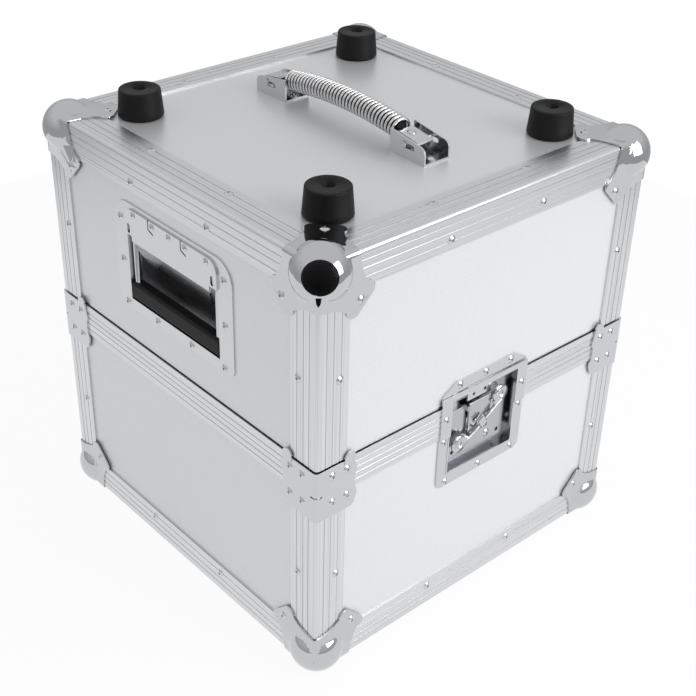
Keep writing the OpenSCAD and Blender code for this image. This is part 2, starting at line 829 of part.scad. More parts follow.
plate_z = [-8.1, -6.6];
hook_z = [-5, -3.6];
pin_z = -1.5;
pin_side = -3.4;
lobe_reach = recess_w / 2 - lobe_side_gap;
lobe_side = pin_side + lobe_r - 1.6;
eccentric = hook_travel / 2;
eccentric_r = 6;
wing_pin_r = 1;
guide_x = 13.3;
guide_t = 1.5;
plate_w = recess_w - 11;
plate_y = [-31, 19];
plate_foot_t = 1.2;
hook_side = 0.4;
roll_r = 0.8;

// The wing's axis, then the wing's own slope
module at_axis() at_latch() translate([0, -latch_axis_drop, 0]) children();
module at_wing() at_axis() rotate([0, 0, wing_angle]) children();

module latch_base_plate() color(zinc) at_axis() difference() {
  union() {
    foot_z = [2 * dish_t - recess_depth, plate_z[0] + slack];
    rounded_slab(plate_w, plate_y, plate_z, [4, 4]);
    block([-29, 29], [plate_y[0], plate_y[0] + plate_foot_t], foot_z);
    for (s = [0, 1]) mirror([s, 0, 0]) {
      block([17, 29], [plate_y[1] - plate_foot_t, plate_y[1]], foot_z);
      block([guide_x, guide_x + guide_t], [14, plate_y[1] - 0.4], [plate_z[0], hook_z[1]]);
    }
  }
  translate([0, 0, -recess_depth]) cylinder(r = 4 + pin_gap, h = recess_depth);
  for (s = [-1, 1]) {
    translate([s * 27, -24, -recess_depth]) cylinder(r = 2, h = recess_depth);
    translate([s * plate_rivet[0], plate_rivet[1], -recess_depth])
      cylinder(r = rivet_d / 2 + rivet_gap, h = recess_depth);
  }
}

module latch_spindle() color(zinc) difference() {
  union() {
    at_axis() {
      translate([0, 0, plate_z[0] - 1.3]) cylinder(r = 5.4, h = 1);
      translate([0, 0, plate_z[0] - 1.3]) cylinder(r = 4, h = 3.4);
      translate([0, 0, -6.3]) cylinder(r = 9, h = 1);
      translate([0, -eccentric, -5.4]) cylinder(r = eccentric_r, h = 1.7);
      translate([0, 0, -3.8]) cylinder(r = 2.8, h = 1);
    }
    at_wing() {
      rounded_slab(8.4, [-5.9, 4.6], [-3.1, -0.6], [0.5, 0.5]);
      rounded_slab(7, [-5.3, 4], [-3.1, 0.8], [0.5, 0.5]);
    }
  }
  at_wing() translate([-10, pin_side, pin_z]) rotate([0, 90, 0]) cylinder(r = wing_pin_r + pin_gap, h = 20);
}

module latch_wing_pin() color(zinc)
  at_wing() translate([-16, pin_side, pin_z]) rotate([0, 90, 0]) cylinder(r = wing_pin_r, h = 32);

module latch_wing() color(zinc) at_wing() difference() {
  arm_r = 1.8;
  union() for (m = [0, 1]) mirror([m, 0, 0]) {
    translate([lobe_reach, lobe_side, pin_z - 1]) cylinder(r = lobe_r, h = 2);
    translate([4.6, pin_side, pin_z]) rotate([0, 90, 0]) cylinder(r = arm_r, h = lobe_reach - 7);
    translate([lobe_reach - lobe_r - 2, pin_side, pin_z - 1]) cube([lobe_r, lobe_side - pin_side, 2]);
    translate([lobe_reach, lobe_side, pin_z]) cylinder(r = 4.6, h = 1.6);
  }
  translate([-16.5, pin_side, pin_z]) rotate([0, 90, 0]) cylinder(r = wing_pin_r + pin_gap, h = 33);
  for (m = [0, 1]) mirror([m, 0, 0])
    translate([lobe_reach, lobe_side, pin_z + 0.4]) cylinder(r = 3.2, h = 3);
}

module latch_hook() color(zinc) at_axis() difference() {
  union() {
    hook_w = 2 * (guide_x - hook_side);
    rounded_slab(hook_w, [-14, 20], hook_z, [3, 0.2]);
    translate([-hook_w / 2, 20.6 - roll_r, hook_z[1] - roll_r])
      rotate([0, 90, 0]) cylinder(r = roll_r, h = hook_w);
  }
  block([-eccentric_r - eccentric - 0.7, eccentric_r + eccentric + 0.7],
    [-eccentric - eccentric_r - 1.2, -eccentric + eccentric_r + 1.2], [-8, 0]);
}

// ---- Hinges ----

knuckle_count = 5;
knuckle_l = (leaf_w - (knuckle_count - 1) * knuckle_gap) / knuckle_count;
shelf_t = leaf_t;

function hinge_spots(s) = [
  for (h = [-1, 1], a = [-1, 0, 1]) [h * hinge_place + a * leaf_w / 3, seam_z + s * (leaf_h - 11)]
];

// Both hinges, on the back face, +Y up from the seam and +Z out
module at_hinges() translate([0, 0, seam_z]) on_face("back")
  for (h = [-1, 1]) translate([h * hinge_place, 0, 0]) children();

// One leaf below the seam, its plate's inner face `lift` above the profile face
module hinge_leaf(lift, knuckles) difference() {
  union() {
    rounded_slab(leaf_w, [-leaf_h, -knuckle_r], [lift, lift + leaf_t], [4, 0.3]);
    for (k = knuckles) {
      x = k * (knuckle_l + knuckle_gap) - leaf_w / 2;
      block([x, x + knuckle_l], [-knuckle_r, shelf_t - knuckle_r], [lift, hinge_out]);
      translate([x, 0, hinge_out]) rotate([0, 90, 0]) cylinder(r = knuckle_r, h = knuckle_l);
    }
  }
  translate([-leaf_w, 0, hinge_out]) rotate([0, 90, 0]) cylinder(r = hinge_pin_r + pin_gap, h = 2 * leaf_w);
  for (a = [-1, 0, 1])
    translate([a * leaf_w / 3, 11 - leaf_h, lift - 1]) cylinder(r = rivet_d / 2 + rivet_gap, h = 10);
}

module hinge_body_leaves() color(zinc) at_hinges() hinge_leaf(0, [0, 2, 4]);
module hinge_lid_leaves() color(zinc) at_hinges() mirror([0, 1, 0]) hinge_leaf(-profile_t, [1, 3]);

module hinge_pins() color(zinc) at_hinges() {
  translate([-leaf_w / 2 - 1.8, 0, hinge_out]) rotate([0, 90, 0]) cylinder(r = hinge_pin_r, h = leaf_w + 3.6);
  for (s = [-1, 1])
    translate([s * (leaf_w / 2 + 1.1) - 0.8, 0, hinge_out])
      rotate([0, 90, 0]) cylinder(r = hinge_pin_r + 1.2, h = 1.6);
}

module hinge_body_rivets() color(zinc) rivets_on("back", hinge_spots(-1), leaf_t, ply_in + leaf_t);
module hinge_lid_rivets() color(zinc)
  rivets_on("back", hinge_spots(1), leaf_t - profile_t, ply_in + leaf_t - profile_t);

// ---- Flip handles ----

flip_z = seam_z + flip_mid;
flip_l = flip_recess_l + 2 * flip_flange;
flip_h = flip_recess_h + 2 * flip_rim;
flip_floor = proud - flip_depth;
arm_gap = 0.6;
bail_half = flip_recess_l / 2 - bail_rod_r - 1.8;
bail_y = flip_recess_h / 2 - bail_drop;
bail_in = 5.4;
grip_mid = grip_h / 2 + 1 - flip_recess_h / 2;
hood_half = flip_recess_l / 2 + 1;
hood_inner = bail_half - bail_rod_r - arm_gap;
hood_t = 1.6;
hood_low = bail_y + bail_rod_r + arm_gap;
lip_top = bail_y - 1;
lip_half = hood_inner - 1;
hood_top = flip_recess_h / 2 + 6.5;
lip_slope = 24;
lip_l = 19.5;
end_rivet = flip_l / 2 - 10;

// Puts children on a side of the lid, the dish's middle at the origin
module at_flip(side) translate([0, 0, flip_z]) on_face(side) children();

module flip_cut_out() translate([0, flip_z, 0]) {
  w = flip_recess_l / 2 + dish_t + latch_gap;
  h = flip_recess_h / 2 + dish_t + latch_gap;
  block([-w, w], [-h, h], [-edge_in - 5, 1]);
}

flip_flat_spots = [
  for (a = [2.5 - end_rivet, -24, 24, end_rivet - 2.5]) [a, 5 - flip_h / 2],
  for (y = [-5.5, flip_recess_h / 2 - 6], s = [-1, 1]) [s * end_rivet, y]
];
flip_spots = [for (p = flip_flat_spots) [p[0], p[1] + flip_z]];
hood_spots = [for (a = [13.5 - hood_half, 0.5, hood_half - 13]) [a, hood_top - 4]];
hooks = [-22.6, 22.3];
hook_up = hood_top - 3.9;
hook_cut = [[-5.9, 10], [-5.9, -4.6], [1.4, -7.4], [2, -6], [-4.5, -3.6], [-4.5, 10]];

module handle_dish(side) color(zinc) at_flip(side) difference() {
  w = flip_recess_l / 2;
  h = flip_recess_h / 2;
  union() {
    rounded_slab(flip_l, [-flip_h / 2, flip_h / 2], [-profile_t, proud], [8, 20]);
    block([-w - dish_t, w + dish_t], [-h - dish_t, h + dish_t], [flip_floor - dish_t, -dish_t]);
  }
  block([-w, w], [-h, h], [flip_floor, 3]);
  for (s = [-1, 1])
    translate([s * w - 5, bail_y, -bail_in]) rotate([0, 90, 0]) cylinder(r = bail_rod_r + pin_gap, h = 10);
  for (p = flip_flat_spots)
    translate([p[0], p[1], -5]) cylinder(r = rivet_d / 2 + rivet_gap, h = 10);
}

// A face over the dish's upper part with a lip that slopes into the recess,
// and the two hooks that are cut free round a rivet
module handle_hood(side) color(zinc) at_flip(side) difference() {
  union() {
    rounded_slab(2 * hood_half, [hood_low, hood_top], [proud, proud + hood_t], [1, 11]);
    block([-hood_inner, hood_inner], [lip_top, hood_low + 1], [proud, proud + hood_t]);
    translate([0, lip_top, proud]) rotate([lip_slope, 0, 0]) linear_extrude(hood_t)
      polygon([[-lip_half, 0.6], [lip_half, 0.6], [lip_half, -2], [lip_half - 7, -lip_l],
        [7 - lip_half, -lip_l], [-lip_half, -2]]);
  }
  for (a = hooks) translate([a, hook_up, proud - 1]) linear_extrude(hood_t + 2) polygon(hook_cut);
  for (s = [-1, 1]) translate([s * bail_half, bail_y + 9.5, proud - 1]) linear_extrude(hood_t + 2) {
    square([3.6, 5], center = true);
    for (t = [-1, 1]) translate([0, t * 2.5]) circle(r = 1.8);
  }
}

module dish_rivets(side) color(zinc) at_flip(side) {
  for (p = flip_flat_spots) translate([p[0], p[1], proud]) rivet(ply_in + proud);
  for (p = concat(hood_spots, [for (a = hooks) [a, hook_up]]))
    translate([p[0], p[1], proud + hood_t]) cylinder(d1 = 6, d2 = 4.4, h = 1.2);
}

module handle_bail(side) color(zinc) at_flip(side) {
  for (s = [-1, 1]) {
    pin_l = flip_recess_l / 2 + 0.8 - bail_half;
    translate([s * (bail_half + pin_l / 2) - pin_l / 2, bail_y, -bail_in]) rotate([0, 90, 0])
      cylinder(r = bail_rod_r, h = pin_l);
    translate([s * bail_half, bail_y, -bail_in]) sphere(r = bail_rod_r);
    translate([s * bail_half, grip_mid, -bail_in])
      rotate([-90, 0, 0]) cylinder(r = bail_rod_r, h = bail_y - grip_mid);
    translate([s * bail_half, grip_mid, -bail_in]) sphere(r = bail_rod_r);
  }
  translate([-bail_half, grip_mid, -bail_in]) rotate([0, 90, 0]) cylinder(r = bail_rod_r, h = 2 * bail_half);
}

// The moulded grip round the bail's rod
module handle_grip(side) color(rubber) at_flip(side) difference() {
  grip_r = 3;
  grip_half = bail_half + bail_rod_r + 1;
  intersection() {
    translate([-grip_half, grip_mid, -bail_in]) rotate([90, 0, 90])
      linear_extrude(2 * grip_half) rounded_plate(grip_h, [-grip_t / 2, grip_t / 2], [grip_r, grip_r]);
    translate([0, 0, -bail_in - grip_t]) linear_extrude(2 * grip_t)
      rounded_plate(2 * grip_half, [grip_mid - grip_h / 2, grip_mid + grip_h / 2], [grip_r, grip_r]);
  }
  translate([-bail_half, grip_mid, -bail_in]) rotate([0, 90, 0])
    cylinder(r = bail_rod_r + pin_gap, h = 2 * bail_half);
  for (s = [-1, 1]) {
    translate([s * bail_half, grip_mid, -bail_in]) sphere(r = bail_rod_r + pin_gap);
    translate([s * bail_half, grip_mid, -bail_in])
      rotate([-90, 0, 0]) cylinder(r = bail_rod_r + pin_gap, h = grip_h);
  }
}

module left_handle_dish() handle_dish("left");
module left_handle_hood() handle_hood("left");
module left_handle_bail() handle_bail("left");
module left_handle_grip() handle_grip("left");
module right_handle_dish() handle_dish("right");
module right_handle_hood() handle_hood("right");
module right_handle_bail() handle_bail("right");
module right_handle_grip() handle_grip("right");
module handle_dish_rivets() {
  dish_rivets("left");
  dish_rivets("right");
}

// ---- Top handle ----

lid_face = top_z - profile_t;
handle_x = 5.7;
handle_y = 1.5;
slot_pin_r = 1.8;
slot_gap = 0.4;
bracket_round = 6.5;

top_bracket_place = coil_half + top_bracket_run;
arch_drop = arch_top - arch_end;
arch_r = (pow(coil_half, 2) + pow(arch_drop, 2)) / (2 * arch_drop);
arch_a = asin(coil_half / arch_r);
coil_sides = 6;
coil_steps = 8;
coil_mean_r = coil_r - wire_d / 2;
core_r = coil_mean_r * cos(180 / coil_steps) - wire_d / 2 - 0.3;

// An end fitting along the line that the arch runs out on: its pin, its
// strap rivet, its ends and its cheeks' levels
fit_w = 16.6;
fit_t = 1.3;
fit_from = 4.5;
fit_to = 28.6;
fit_top = 2.7;
fit_low = -5;
strap_rivet = 12;
strap_to = 15.5;
strap_t = 4.4;
pin_run = 18.5;
pin_dip = 1.5;
pin_place = coil_half + pin_run * cos(arch_a) - pin_dip * sin(arch_a);
pin_up = arch_end - pin_run * sin(arch_a) - pin_dip * cos(arch_a);

// The brackets' middle on the lid, and the handle's own, slid to one end of its slots
module at_handle() translate([handle_x, handle_y, lid_face]) children();
module at_grip() at_handle() translate([0, slot_travel, 0]) children();
module both_ends() for (m = [0, 1]) mirror([0, m, 0]) children();
// Puts children where the arch ends, +Y on along it
module at_end() both_ends() translate([0, coil_half, arch_end]) rotate([-arch_a, 0, 0]) children();

top_bracket_spots = [
  for (s = [-1, 1], a = [-1, 1]) [handle_x, handle_y + s * (top_bracket_place + a * (top_bracket_l / 2 - 7))]
];

// Outline of a bracket's wall, the handle's side at its left, less its slot
module bracket_wall() {
  run = top_bracket_l / 2;
  difference() {
    union() {
      polygon([[-run, 0], [run, 0], [run, top_bracket_low - bracket_round],
        [run - bracket_round, top_bracket_low], [-run, top_bracket_h]]);
      translate([run - bracket_round, top_bracket_low - bracket_round]) circle(r = bracket_round);
    }
    translate([pin_place - top_bracket_place, pin_up]) {
      square([2 * slot_travel, 2 * (slot_pin_r + slot_gap)], center = true);
      for (t = [-1, 1]) translate([t * slot_travel, 0]) circle(r = slot_pin_r + slot_gap);
    }
  }
}

module top_handle_brackets() color(zinc) difference() {
  at_handle() both_ends() translate([0, top_bracket_place, 0]) {
    run = top_bracket_l / 2;
    block([-top_bracket_w / 2, top_bracket_w / 2], [-run, run], [0, top_bracket_t]);
    for (s = [0, 1]) mirror([s, 0, 0])
      translate([top_bracket_w / 2 - top_bracket_t, 0, 0])
        rotate([90, 0, 90]) linear_extrude(top_bracket_t) bracket_wall();
  }
  holes_on("top", top_bracket_spots);
}

module top_handle_bracket_rivets() color(zinc)
  rivets_on("top", top_bracket_spots, top_bracket_t - profile_t, ply_in + top_bracket_t - profile_t);

module top_handle_core() color(rubber) at_grip() difference() {
  union() {
    translate([0, 0, arch_top - arch_r]) rotate([90, 0, 90]) rotate([0, 0, 90 - arch_a])
      rotate_extrude(angle = 2 * arch_a) translate([arch_r, 0]) circle(r = core_r, $fn = 32);
    at_end() for (part = [[4, -1, 3], [6.4, wire_d / 2 + 0.7, strap_to]])
      block([-part[0], part[0]], [part[1], part[2]], [fit_top - fit_t - strap_t, fit_top - fit_t]);
  }
  at_end() translate([0, strap_rivet, -10]) cylinder(r = rivet_d / 2 + rivet_gap, h = 20);
}

// Points of the coil: rings along a helix wound round the arch
coil_rings = coil_turns * coil_steps + 1;
function arch_point(a) = [0, arch_r * sin(a), arch_top - arch_r + arch_r * cos(a)];
function coil_angle(i) = (2 * i / (coil_rings - 1) - 1) * arch_a;
function coil_point(i) =
  let (a = coil_angle(i), w = 360 * i / coil_steps, c = arch_point(a))
    c + coil_mean_r * [cos(w), sin(w) * sin(a), sin(w) * cos(a)];
function unit(v) = v / norm(v);
function coil_way(i) = unit(coil_point(min(i + 1, coil_rings - 1)) - coil_point(max(i - 1, 0)));
function coil_ring(i) =
  let (p = coil_point(i), d = coil_way(i), o = unit(p - arch_point(coil_angle(i))),
    q = unit(cross(d, o)), n = cross(q, d))
    [for (k = [0:coil_sides - 1])
      p + wire_d / 2 * (cos(360 * k / coil_sides) * n + sin(360 * k / coil_sides) * q)];
coil_points = [for (i = [0:coil_rings - 1]) each coil_ring(i)];
coil_faces = concat(
  [[for (k = [0:coil_sides - 1]) k]],
  [[for (k = [0:coil_sides - 1]) coil_rings * coil_sides - 1 - k]],
  [for (i = [0:coil_rings - 2], k = [0:coil_sides - 1])
    let (a = i * coil_sides + k, b = i * coil_sides + (k + 1) % coil_sides)
      [a, a + coil_sides, b + coil_sides, b]]
);
// Least room between neighbouring curls, over points one turn apart
coil_self_gap = min([for (i = [0:coil_rings - 1 - coil_steps])
  norm(coil_point(i + coil_steps) - coil_point(i)) - wire_d]);
echo(coil_self_gap = coil_self_gap);

module top_handle_coil() color(zinc) at_grip()
  polyhedron(points = coil_points, faces = coil_faces, convexity = 10);

module top_handle_end_fittings() color(zinc) at_grip() at_end() difference() {
  end_roll_r = 1.6;
  union() {
    block([-fit_w / 2, fit_w / 2], [fit_from, fit_to - end_roll_r], [fit_top - fit_t, fit_top]);
    for (s = [0, 1]) mirror([s, 0, 0])
      block([fit_w / 2 - fit_t, fit_w / 2], [fit_from, fit_to - end_roll_r], [fit_low, fit_top]);
    translate([-fit_w / 2, fit_to - end_roll_r, fit_top - end_roll_r])
      rotate([0, 90, 0]) cylinder(r = end_roll_r, h = fit_w);
  }
  translate([0, strap_rivet, 0]) cylinder(r = rivet_d / 2 + rivet_gap, h = 10);
  translate([-fit_w, pin_run, -pin_dip]) rotate([0, 90, 0]) cylinder(r = slot_pin_r + pin_gap, h = 2 * fit_w);
}

module top_handle_pins() color(zinc) at_grip() both_ends() {
  run = top_bracket_w / 2 + 1.4;
  translate([-run, pin_place, pin_up]) rotate([0, 90, 0]) cylinder(r = slot_pin_r, h = 2 * run);
  for (s = [-1, 1]) translate([s * (run - 0.5) - 0.5, pin_place, pin_up])
    rotate([0, 90, 0]) cylinder(r = slot_pin_r + 1.4, h = 1);
}

module top_handle_fitting_rivets() color(zinc) at_grip() at_end()
  translate([0, strap_rivet, fit_top]) rivet(fit_t + strap_t);

// ---- Feet ----

foot_screw_r = 2.5;
foot_bore_r = 5.6;
foot_round = 1.5;
foot_floor = 6;

module each_foot() for (sx = [-1, 1], sy = [-1, 1])
  translate([sx * (half_w - foot_inset), sy * (half_d - foot_inset), lid_face]) children();

module rubber_feet() color(rubber) each_foot() rotate_extrude() difference() {
  union() {
    polygon([[0, 0], [foot_r - 1.6, 0], [foot_r, 1.8], [foot_tip_r, foot_h - foot_round],
      [foot_tip_r - foot_round, foot_h - foot_round], [foot_tip_r - foot_round, foot_h], [0, foot_h]]);
    translate([foot_tip_r - foot_round, foot_h - foot_round]) circle(r = foot_round);
  }
  translate([0, foot_floor]) square([foot_bore_r, foot_h]);
  translate([0, -slack]) square([foot_screw_r + rivet_gap, foot_h]);
}

module foot_screws() color(zinc) each_foot() {
  translate([0, 0, foot_floor]) cylinder(r = 5, h = 2.6);
  translate([0, 0, -ply_t - 4]) cylinder(r = foot_screw_r, h = ply_t + 4 + foot_floor + 1);
  translate([0, 0, -ply_t - 3.2]) cylinder(r = 5.2, h = 3.2, $fn = 6);
}

body_front_panel();
body_back_panel();
body_left_panel();
body_right_panel();
body_base_panel();
body_upright_profiles();
body_base_cross_profiles();
body_base_side_profiles();
body_rim_profiles();
body_ball_corners();
seam_brackets();
body_rivets();
latch_dish();
latch_base_plate();
latch_dish_rivets();
hinge_body_leaves();
hinge_pins();
hinge_body_rivets();
lid_front_panel();
lid_back_panel();
lid_left_panel();
lid_right_panel();
lid_top_panel();
lid_upright_profiles();
lid_top_cross_profiles();
lid_top_side_profiles();
lid_rim_profiles();
lid_ball_corners();
lid_rivets();
latch_strike();
latch_strike_rivets();
hinge_lid_leaves();
hinge_lid_rivets();
left_handle_dish();
left_handle_hood();
right_handle_dish();
right_handle_hood();
handle_dish_rivets();
top_handle_brackets();
top_handle_bracket_rivets();
rubber_feet();
foot_screws();
latch_spindle();
latch_wing_pin();
latch_wing();
latch_hook();
left_handle_bail();
left_handle_grip();
right_handle_bail();
right_handle_grip();
top_handle_core();
top_handle_coil();
top_handle_end_fittings();
top_handle_pins();
top_handle_fitting_rivets();
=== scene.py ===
import json
import math

import bmesh
import bpy
from mathutils import Matrix, Vector


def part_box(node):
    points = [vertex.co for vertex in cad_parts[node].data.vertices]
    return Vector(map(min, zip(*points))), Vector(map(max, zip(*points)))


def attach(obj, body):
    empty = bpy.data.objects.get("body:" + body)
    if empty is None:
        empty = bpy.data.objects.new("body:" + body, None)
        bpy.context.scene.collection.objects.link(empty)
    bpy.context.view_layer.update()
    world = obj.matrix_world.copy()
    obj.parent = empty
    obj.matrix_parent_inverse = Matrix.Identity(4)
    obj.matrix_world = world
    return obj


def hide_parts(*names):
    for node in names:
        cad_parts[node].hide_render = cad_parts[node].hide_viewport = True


# A record carrying case: laminated plywood panels in aluminium edge profiles, pressed steel ball corners,
# a turn latch, flip handles and a coil-sleeved handle on the lid. Metres, +Z up, front towards -Y.
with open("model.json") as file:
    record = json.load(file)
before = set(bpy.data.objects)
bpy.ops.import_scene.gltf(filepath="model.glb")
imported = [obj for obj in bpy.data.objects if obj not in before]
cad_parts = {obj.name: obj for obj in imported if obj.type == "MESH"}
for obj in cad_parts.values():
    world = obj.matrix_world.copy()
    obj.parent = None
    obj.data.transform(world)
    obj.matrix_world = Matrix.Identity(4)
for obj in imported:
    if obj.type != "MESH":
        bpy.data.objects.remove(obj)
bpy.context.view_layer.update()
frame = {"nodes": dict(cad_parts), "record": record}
nodes = frame["nodes"]
MM = 0.001
AXES = {"X": 0, "Y": 1, "Z": 2}


# ---- Panels ----
# 9 mm birch plywood with a silver high pressure laminate glued on its outer side, sawn to size and slid
# into the edge profiles. Its plies show at the cut-outs and its bare birch face inside the case.
LAMINATE_THICKNESS = 0.7 * MM
PLY_PAIR = 2.6 * MM
LAMINATE_SILVER = "#E0E1E3"
LAMINATE_SHADE = "#D8D9DB"
LAMINATE_ROUGHNESS = 0.35
LAMINATE_METALLIC = 0.45
MOTTLE_MM = 1.1
BIRCH_LIGHT = "#DDBF92"
BIRCH_DARK = "#B08A58"
BIRCH_ROUGHNESS = 0.55
BIRCH_GRAIN_MM = {"X": (60, 1.4, 50), "Y": (1.4, 60, 50), "Z": (1.4, 60, 50)}
PLY_CONTRAST = 0.16


def srgb(hex_colour):
    """An sRGB hex colour as linear RGBA."""
    parts = [int(hex_colour[i:i + 2], 16) / 255 for i in (1, 3, 5)]
    return tuple(c / 12.92 if c <= 0.04045 else ((c + 0.055) / 1.055) ** 2.4 for c in parts) + (1.0,)


def add(tree, kind, links=None, inputs=None, **settings):
    """Adds a node with its settings, its inputs' values and the sockets linked to its inputs."""
    made = tree.nodes.new(kind)
    for key, value in settings.items():
        setattr(made, key, value)
    for key, value in (inputs or {}).items():
        made.inputs[key].default_value = value
    for key, source in (links or {}).items():
        tree.links.new(source, made.inputs[key])
    return made


def calc(tree, operation, *values):
    """A math node on numbers and sockets."""
    made = add(tree, "ShaderNodeMath", operation=operation)
    for i, value in enumerate(values):
        if isinstance(value, (int, float)):
            made.inputs[i].default_value = value
        else:
            tree.links.new(value, made.inputs[i])
    return made.outputs[0]


def cleared_tree(owner):
    """The empty node tree of a material or a world."""
    owner.use_nodes = True
    owner.node_tree.nodes.clear()
    return owner.node_tree


def new_material(name, **inputs):
    """A node material, its tree and its shader with the given inputs."""
    material = bpy.data.materials.new(name)
    tree = cleared_tree(material)
    values = {key.replace("_", " "): value for key, value in inputs.items()}
    shader = add(tree, "ShaderNodeBsdfPrincipled", inputs=values)
    add(tree, "ShaderNodeOutputMaterial", {"Surface": shader.outputs["BSDF"]})
    return material, tree, shader


def grains(tree, size_mm, detail=3.0):
    """Noise on Object coordinates whose grains measure size_mm (x, y, z)."""
    point = add(tree, "ShaderNodeTexCoord").outputs["Object"]
    scaled = add(tree, "ShaderNodeMapping", {"Vector": point}, {"Scale": [1 / (s * MM) for s in size_mm]})
    noise = add(tree, "ShaderNodeTexNoise", {"Vector": scaled.outputs["Vector"]},
                {"Scale": 1.0, "Detail": detail})
    return noise.outputs["Fac"]


def ramp(tree, factor, *stops):
    """A colour ramp over (position, hex) stops."""
    made = add(tree, "ShaderNodeValToRGB", {"Fac": factor})
    for element, (position, colour) in zip(made.color_ramp.elements, stops):
        element.position = position
        element.color = srgb(colour)
    return made.outputs["Color"]


def relief(tree, shader, height, strength, depth_mm):
    """Bumps a shader by a height field."""
    made = add(tree, "ShaderNodeBump", {"Height": height}, {"Strength": strength, "Distance": depth_mm * MM})
    tree.links.new(made.outputs["Normal"], shader.inputs["Normal"])


def laminated_plywood(node, axis, sign):
    """The panel's finish: laminate on the outer side, plies at its edges and birch inside."""
    material, tree, shader = new_material(f"laminated_plywood_{node}")
    low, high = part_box(node)
    face = sign * (high if sign > 0 else low)[AXES[axis]]
    point = add(tree, "ShaderNodeTexCoord").outputs["Object"]
    along = add(tree, "ShaderNodeSeparateXYZ", {"Vector": point}).outputs[axis]
    depth = calc(tree, "MULTIPLY_ADD", along, -sign, face)
    wooden = calc(tree, "GREATER_THAN", depth, LAMINATE_THICKNESS)
    plies = calc(tree, "SINE", calc(tree, "MULTIPLY", depth, 2 * math.pi / PLY_PAIR))
    figure = calc(tree, "MULTIPLY_ADD", plies, PLY_CONTRAST, grains(tree, BIRCH_GRAIN_MM[axis]))
    wood = ramp(tree, figure, (0.3, BIRCH_DARK), (0.6, BIRCH_LIGHT))
    mottle = grains(tree, (MOTTLE_MM,) * 3, detail=2.0)
    silver = ramp(tree, mottle, (0.3, LAMINATE_SHADE), (0.7, LAMINATE_SILVER))
    colour = add(tree, "ShaderNodeMix", {0: wooden, 6: silver, 7: wood}, data_type="RGBA")
    tree.links.new(colour.outputs[2], shader.inputs["Base Color"])
    for socket, silvered, bare in (("Roughness", LAMINATE_ROUGHNESS, BIRCH_ROUGHNESS),
                                   ("Metallic", LAMINATE_METALLIC, 0)):
        tree.links.new(calc(tree, "MULTIPLY_ADD", wooden, bare - silvered, silvered), shader.inputs[socket])
    relief(tree, shader, mottle, strength=0.05, depth_mm=0.04)
    return material


def finish_node(node, material):
    """Gives a CAD node its finish."""
    slots = nodes[node].data.materials
    slots.clear()
    slots.append(material)


panels = [(f"{part}_{side}_panel", axis, sign)
          for side, axis, sign in (("front", "Y", -1), ("back", "Y", 1), ("left", "X", -1), ("right", "X", 1))
          for part in ("body", "lid")]
for panel, axis, sign in panels + [("body_base_panel", "Z", -1), ("lid_top_panel", "Z", 1)]:
    finish_node(panel, laminated_plywood(panel, axis, sign))


# ---- Edge profiles ----
# Aluminium extrusions, mill finish with a clear anodise: fine die lines run along each length, and the
# metal is bright with soft, stretched highlights. Sawn to length and mitred at the corners.
ALUMINIUM = "#DFE0E2"
DIE_LINE = "#C8C9CC"
DIE_LINE_WIDTH_MM = 0.5
DIE_LINE_LENGTH_MM = 400


def extruded_aluminium(name, upright):
    """Clear anodised aluminium with die lines along Z, or round the frame's four sides."""
    material, tree, shader = new_material(name, Metallic=1.0, Roughness=0.3)
    wide, long = DIE_LINE_WIDTH_MM, DIE_LINE_LENGTH_MM
    if upright:
        lines = grains(tree, (wide, wide, long))
    else:
        point = add(tree, "ShaderNodeTexCoord").outputs["Object"]
        split = add(tree, "ShaderNodeSeparateXYZ", {"Vector": point})
        reach = [calc(tree, "ABSOLUTE", split.outputs[a]) for a in ("X", "Y")]
        along_x = calc(tree, "GREATER_THAN", reach[1], reach[0])
        lines = add(tree, "ShaderNodeMix", {0: along_x, 2: grains(tree, (wide, long, wide)),
                                            3: grains(tree, (long, wide, wide))}).outputs[0]
    tree.links.new(ramp(tree, lines, (0.35, DIE_LINE), (0.6, ALUMINIUM)), shader.inputs["Base Color"])
    relief(tree, shader, lines, strength=0.12, depth_mm=0.03)
    return material


upright_aluminium = extruded_aluminium("anodised_extrusion_upright", upright=True)
frame_aluminium = extruded_aluminium("anodised_extrusion_frame", upright=False)
for node in ("body_upright_profiles", "lid_upright_profiles"):
    finish_node(node, upright_aluminium)
for node in ("body_base_cross_profiles", "body_base_side_profiles", "lid_top_cross_profiles",
             "lid_top_side_profiles", "body_rim_profiles", "lid_rim_profiles"):
    finish_node(node, frame_aluminium)


# ---- Ball corners and seam brackets ----
# Cold rolled steel, pressed in one blow with the ball drawn out of the sheet, then barrel polished and
# bright nickel plated: close to a mirror, with the faint waviness that the press leaves. The folded
# brackets are duller, and the deep dishes of the flip handles duller still.
BALL_NICKEL = "#C3C4C7"
SHEET_NICKEL = "#CACBCE"
DISH_NICKEL = "#D0D1D3"
PLATING_DEPTH_MM = 0.2
SMOOTH_ANGLE = math.radians(32)
WELD = 1e-6


def plated_steel(name, colour, roughness, wave_mm, wave_strength):
    """Bright plate over pressed steel."""
    material, tree, shader = new_material(name, Base_Color=srgb(colour), Metallic=1.0, Roughness=roughness)
    relief(tree, shader, grains(tree, (wave_mm,) * 3, detail=2.0), wave_strength, PLATING_DEPTH_MM)
    return material


def evaluated_mesh(seed):
    """The plain mesh of an object with its modifiers applied; the object goes."""
    bpy.context.view_layer.update()
    mesh = bpy.data.meshes.new_from_object(seed.evaluated_get(bpy.context.evaluated_depsgraph_get()))
    bpy.data.objects.remove(seed)
    return mesh


def body_holding(node):
    """The moving body that a CAD node belongs to."""
    bodies = frame["record"]["behaviour"]["bodies"]
    return next(name for name, members in bodies.items() if node in members)


